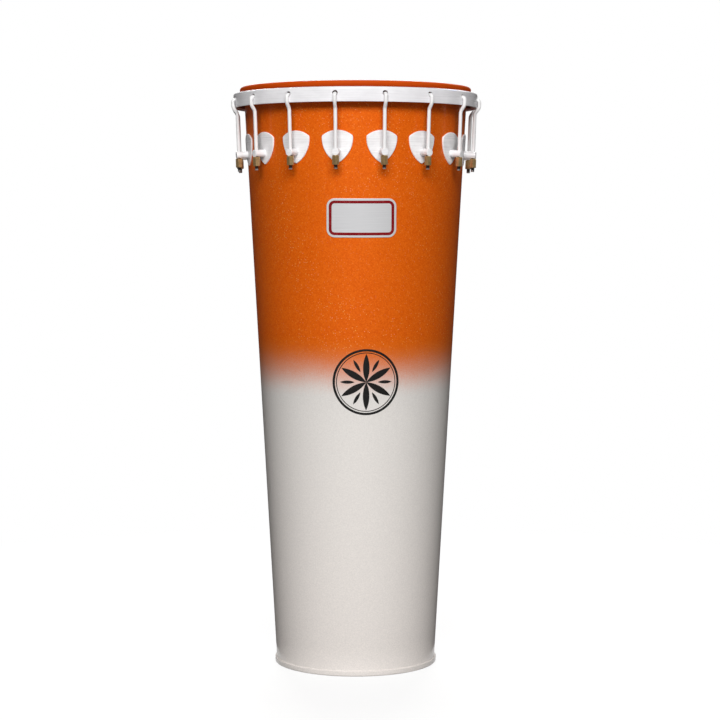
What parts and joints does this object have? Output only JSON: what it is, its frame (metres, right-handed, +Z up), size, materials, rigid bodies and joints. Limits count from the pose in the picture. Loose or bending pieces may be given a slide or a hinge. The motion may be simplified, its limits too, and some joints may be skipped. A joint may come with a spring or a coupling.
{
  "type": "timbal drum",
  "caption": "Tall tapered hand drum: open-footed sheet-metal shell, film head drawn over its rolled rim by a hoop, hooked tension rods and nuts under lug posts.",
  "frame": {"origin": "on the floor, in the middle of the foot's flat ring", "axes": "+Z up along the shell's axis, -Y towards the front, where the nameplate is, +X to its right"},
  "size_m": [0.388, 0.388, 0.9],
  "materials": {
    "shell_paint": "gloss",
    "head_film": "gloss",
    "flesh_hoop": "satin",
    "white_paint": "gloss",
    "rod_paint": "gloss",
    "brass": "satin",
    "nameplate": "satin",
    "plated_steel": "satin"
  },
  "bodies": {
    "shell": {"shell": "shell_paint", "nameplate": "nameplate", "lug_posts": "white_paint", "lug_screws": "plated_steel", "lug_washers": "plated_steel", "lug_plate_01": "white_paint", "lug_plate_02": "white_paint", "lug_plate_03": "white_paint", "lug_plate_04": "white_paint", "lug_plate_05": "white_paint", "lug_plate_06": "white_paint", "lug_plate_07": "white_paint", "lug_plate_08": "white_paint", "lug_plate_09": "white_paint", "lug_plate_10": "white_paint", "lug_plate_11": "white_paint", "lug_plate_12": "white_paint", "lug_plate_13": "white_paint", "lug_plate_14": "white_paint", "lug_plate_15": "white_paint", "lug_plate_16": "white_paint"},
    "head": {"tension_hoop": "white_paint", "flesh_hoop": "flesh_hoop", "head_film": "head_film"},
    "rod_01": {"tension_rod_01": "rod_paint"},
    "nut_01": {"tuning_nut_01": "brass"},
    "rod_02": {"tension_rod_02": "rod_paint"},
    "nut_02": {"tuning_nut_02": "brass"},
    "rod_03": {"tension_rod_03": "rod_paint"},
    "nut_03": {"tuning_nut_03": "brass"},
    "rod_04": {"tension_rod_04": "rod_paint"},
    "nut_04": {"tuning_nut_04": "brass"},
    "rod_05": {"tension_rod_05": "rod_paint"},
    "nut_05": {"tuning_nut_05": "brass"},
    "rod_06": {"tension_rod_06": "rod_paint"},
    "nut_06": {"tuning_nut_06": "brass"},
    "rod_07": {"tension_rod_07": "rod_paint"},
    "nut_07": {"tuning_nut_07": "brass"},
    "rod_08": {"tension_rod_08": "rod_paint"},
    "nut_08": {"tuning_nut_08": "brass"},
    "rod_09": {"tension_rod_09": "rod_paint"},
    "nut_09": {"tuning_nut_09": "brass"},
    "rod_10": {"tension_rod_10": "rod_paint"},
    "nut_10": {"tuning_nut_10": "brass"},
    "rod_11": {"tension_rod_11": "rod_paint"},
    "nut_11": {"tuning_nut_11": "brass"},
    "rod_12": {"tension_rod_12": "rod_paint"},
    "nut_12": {"tuning_nut_12": "brass"},
    "rod_13": {"tension_rod_13": "rod_paint"},
    "nut_13": {"tuning_nut_13": "brass"},
    "rod_14": {"tension_rod_14": "rod_paint"},
    "nut_14": {"tuning_nut_14": "brass"},
    "rod_15": {"tension_rod_15": "rod_paint"},
    "nut_15": {"tuning_nut_15": "brass"},
    "rod_16": {"tension_rod_16": "rod_paint"},
    "nut_16": {"tuning_nut_16": "brass"}
  },
  "joints": [
    {"name": "head_slide", "type": "slide", "parent": "shell", "child": "head", "axis": [0, 0, 1], "range_m": [0, 0.005]},
    {"name": "rod_slide_01", "type": "slide", "parent": "shell", "child": "rod_01", "axis": [-0.0057, -0.0362, 0.9993], "range_m": [0, 0.00501]},
    {"name": "nut_turn_01", "type": "hinge", "parent": "shell", "child": "nut_01", "pos_m": [-0.02885, -0.18216, 0.79501], "axis": [-0.0057, -0.0362, 0.9993], "range_deg": [-1802, 0]},
    {"name": "rod_slide_02", "type": "slide", "parent": "shell", "child": "rod_02", "axis": [0.0086, -0.0356, 0.9993], "range_m": [0, 0.00501]},
    {"name": "nut_turn_02", "type": "hinge", "parent": "shell", "child": "nut_02", "pos_m": [0.04306, -0.17934, 0.79501], "axis": [0.0086, -0.0356, 0.9993], "range_deg": [-1802, 0]},
    {"name": "rod_slide_03", "type": "slide", "parent": "shell", "child": "rod_03", "axis": [0.0215, -0.0296, 0.9993], "range_m": [0, 0.00501]},
    {"name": "nut_turn_03", "type": "hinge", "parent": "shell", "child": "nut_03", "pos_m": [0.10841, -0.14921, 0.79501], "axis": [0.0215, -0.0296, 0.9993], "range_deg": [-1802, 0]},
    {"name": "rod_slide_04", "type": "slide", "parent": "shell", "child": "rod_04", "axis": [0.0312, -0.0191, 0.9993], "range_m": [0, 0.00501]},
    {"name": "nut_turn_04", "type": "hinge", "parent": "shell", "child": "nut_04", "pos_m": [0.15725, -0.09637, 0.79501], "axis": [0.0312, -0.0191, 0.9993], "range_deg": [-1802, 0]},
    {"name": "rod_slide_05", "type": "slide", "parent": "shell", "child": "rod_05", "axis": [0.0362, -0.0057, 0.9993], "range_m": [0, 0.00501]},
    {"name": "nut_turn_05", "type": "hinge", "parent": "shell", "child": "nut_05", "pos_m": [0.18216, -0.02885, 0.79501], "axis": [0.0362, -0.0057, 0.9993], "range_deg": [-1802, 0]},
    {"name": "rod_slide_06", "type": "slide", "parent": "shell", "child": "rod_06", "axis": [0.0356, 0.0086, 0.9993], "range_m": [0, 0.00501]},
    {"name": "nut_turn_06", "type": "hinge", "parent": "shell", "child": "nut_06", "pos_m": [0.17934, 0.04306, 0.79501], "axis": [0.0356, 0.0086, 0.9993], "range_deg": [-1802, 0]},
    {"name": "rod_slide_07", "type": "slide", "parent": "shell", "child": "rod_07", "axis": [0.0296, 0.0215, 0.9993], "range_m": [0, 0.00501]},
    {"name": "nut_turn_07", "type": "hinge", "parent": "shell", "child": "nut_07", "pos_m": [0.14921, 0.10841, 0.79501], "axis": [0.0296, 0.0215, 0.9993], "range_deg": [-1802, 0]},
    {"name": "rod_slide_08", "type": "slide", "parent": "shell", "child": "rod_08", "axis": [0.0191, 0.0312, 0.9993], "range_m": [0, 0.00501]},
    {"name": "nut_turn_08", "type": "hinge", "parent": "shell", "child": "nut_08", "pos_m": [0.09637, 0.15725, 0.79501], "axis": [0.0191, 0.0312, 0.9993], "range_deg": [-1802, 0]},
    {"name": "rod_slide_09", "type": "slide", "parent": "shell", "child": "rod_09", "axis": [0.0057, 0.0362, 0.9993], "range_m": [0, 0.00501]},
    {"name": "nut_turn_09", "type": "hinge", "parent": "shell", "child": "nut_09", "pos_m": [0.02885, 0.18216, 0.79501], "axis": [0.0057, 0.0362, 0.9993], "range_deg": [-1802, 0]},
    {"name": "rod_slide_10", "type": "slide", "parent": "shell", "child": "rod_10", "axis": [-0.0086, 0.0356, 0.9993], "range_m": [0, 0.00501]},
    {"name": "nut_turn_10", "type": "hinge", "parent": "shell", "child": "nut_10", "pos_m": [-0.04306, 0.17934, 0.79501], "axis": [-0.0086, 0.0356, 0.9993], "range_deg": [-1802, 0]},
    {"name": "rod_slide_11", "type": "slide", "parent": "shell", "child": "rod_11", "axis": [-0.0215, 0.0296, 0.9993], "range_m": [0, 0.00501]},
    {"name": "nut_turn_11", "type": "hinge", "parent": "shell", "child": "nut_11", "pos_m": [-0.10841, 0.14921, 0.79501], "axis": [-0.0215, 0.0296, 0.9993], "range_deg": [-1802, 0]},
    {"name": "rod_slide_12", "type": "slide", "parent": "shell", "child": "rod_12", "axis": [-0.0312, 0.0191, 0.9993], "range_m": [0, 0.00501]},
    {"name": "nut_turn_12", "type": "hinge", "parent": "shell", "child": "nut_12", "pos_m": [-0.15725, 0.09637, 0.79501], "axis": [-0.0312, 0.0191, 0.9993], "range_deg": [-1802, 0]},
    {"name": "rod_slide_13", "type": "slide", "parent": "shell", "child": "rod_13", "axis": [-0.0362, 0.0057, 0.9993], "range_m": [0, 0.00501]},
    {"name": "nut_turn_13", "type": "hinge", "parent": "shell", "child": "nut_13", "pos_m": [-0.18216, 0.02885, 0.79501], "axis": [-0.0362, 0.0057, 0.9993], "range_deg": [-1802, 0]},
    {"name": "rod_slide_14", "type": "slide", "parent": "shell", "child": "rod_14", "axis": [-0.0356, -0.0086, 0.9993], "range_m": [0, 0.00501]},
    {"name": "nut_turn_14", "type": "hinge", "parent": "shell", "child": "nut_14", "pos_m": [-0.17934, -0.04306, 0.79501], "axis": [-0.0356, -0.0086, 0.9993], "range_deg": [-1802, 0]},
    {"name": "rod_slide_15", "type": "slide", "parent": "shell", "child": "rod_15", "axis": [-0.0296, -0.0215, 0.9993], "range_m": [0, 0.00501]},
    {"name": "nut_turn_15", "type": "hinge", "parent": "shell", "child": "nut_15", "pos_m": [-0.14921, -0.10841, 0.79501], "axis": [-0.0296, -0.0215, 0.9993], "range_deg": [-1802, 0]},
    {"name": "rod_slide_16", "type": "slide", "parent": "shell", "child": "rod_16", "axis": [-0.0191, -0.0312, 0.9993], "range_m": [0, 0.00501]},
    {"name": "nut_turn_16", "type": "hinge", "parent": "shell", "child": "nut_16", "pos_m": [-0.09637, -0.15725, 0.79501], "axis": [-0.0191, -0.0312, 0.9993], "range_deg": [-1802, 0]}
  ],
  "couplings": [
    {"joint": "rod_slide_01", "follows": "head_slide", "ratio": 1.0007},
    {"joint": "nut_turn_01", "follows": "head_slide", "rad_per_m": -6287.4},
    {"joint": "rod_slide_02", "follows": "head_slide", "ratio": 1.0007},
    {"joint": "nut_turn_02", "follows": "head_slide", "rad_per_m": -6287.4},
    {"joint": "rod_slide_03", "follows": "head_slide", "ratio": 1.0007},
    {"joint": "nut_turn_03", "follows": "head_slide", "rad_per_m": -6287.4},
    {"joint": "rod_slide_04", "follows": "head_slide", "ratio": 1.0007},
    {"joint": "nut_turn_04", "follows": "head_slide", "rad_per_m": -6287.4},
    {"joint": "rod_slide_05", "follows": "head_slide", "ratio": 1.0007},
    {"joint": "nut_turn_05", "follows": "head_slide", "rad_per_m": -6287.4},
    {"joint": "rod_slide_06", "follows": "head_slide", "ratio": 1.0007},
    {"joint": "nut_turn_06", "follows": "head_slide", "rad_per_m": -6287.4},
    {"joint": "rod_slide_07", "follows": "head_slide", "ratio": 1.0007},
    {"joint": "nut_turn_07", "follows": "head_slide", "rad_per_m": -6287.4},
    {"joint": "rod_slide_08", "follows": "head_slide", "ratio": 1.0007},
    {"joint": "nut_turn_08", "follows": "head_slide", "rad_per_m": -6287.4},
    {"joint": "rod_slide_09", "follows": "head_slide", "ratio": 1.0007},
    {"joint": "nut_turn_09", "follows": "head_slide", "rad_per_m": -6287.4},
    {"joint": "rod_slide_10", "follows": "head_slide", "ratio": 1.0007},
    {"joint": "nut_turn_10", "follows": "head_slide", "rad_per_m": -6287.4},
    {"joint": "rod_slide_11", "follows": "head_slide", "ratio": 1.0007},
    {"joint": "nut_turn_11", "follows": "head_slide", "rad_per_m": -6287.4},
    {"joint": "rod_slide_12", "follows": "head_slide", "ratio": 1.0007},
    {"joint": "nut_turn_12", "follows": "head_slide", "rad_per_m": -6287.4},
    {"joint": "rod_slide_13", "follows": "head_slide", "ratio": 1.0007},
    {"joint": "nut_turn_13", "follows": "head_slide", "rad_per_m": -6287.4},
    {"joint": "rod_slide_14", "follows": "head_slide", "ratio": 1.0007},
    {"joint": "nut_turn_14", "follows": "head_slide", "rad_per_m": -6287.4},
    {"joint": "rod_slide_15", "follows": "head_slide", "ratio": 1.0007},
    {"joint": "nut_turn_15", "follows": "head_slide", "rad_per_m": -6287.4},
    {"joint": "rod_slide_16", "follows": "head_slide", "ratio": 1.0007},
    {"joint": "nut_turn_16", "follows": "head_slide", "rad_per_m": -6287.4}
  ]
}
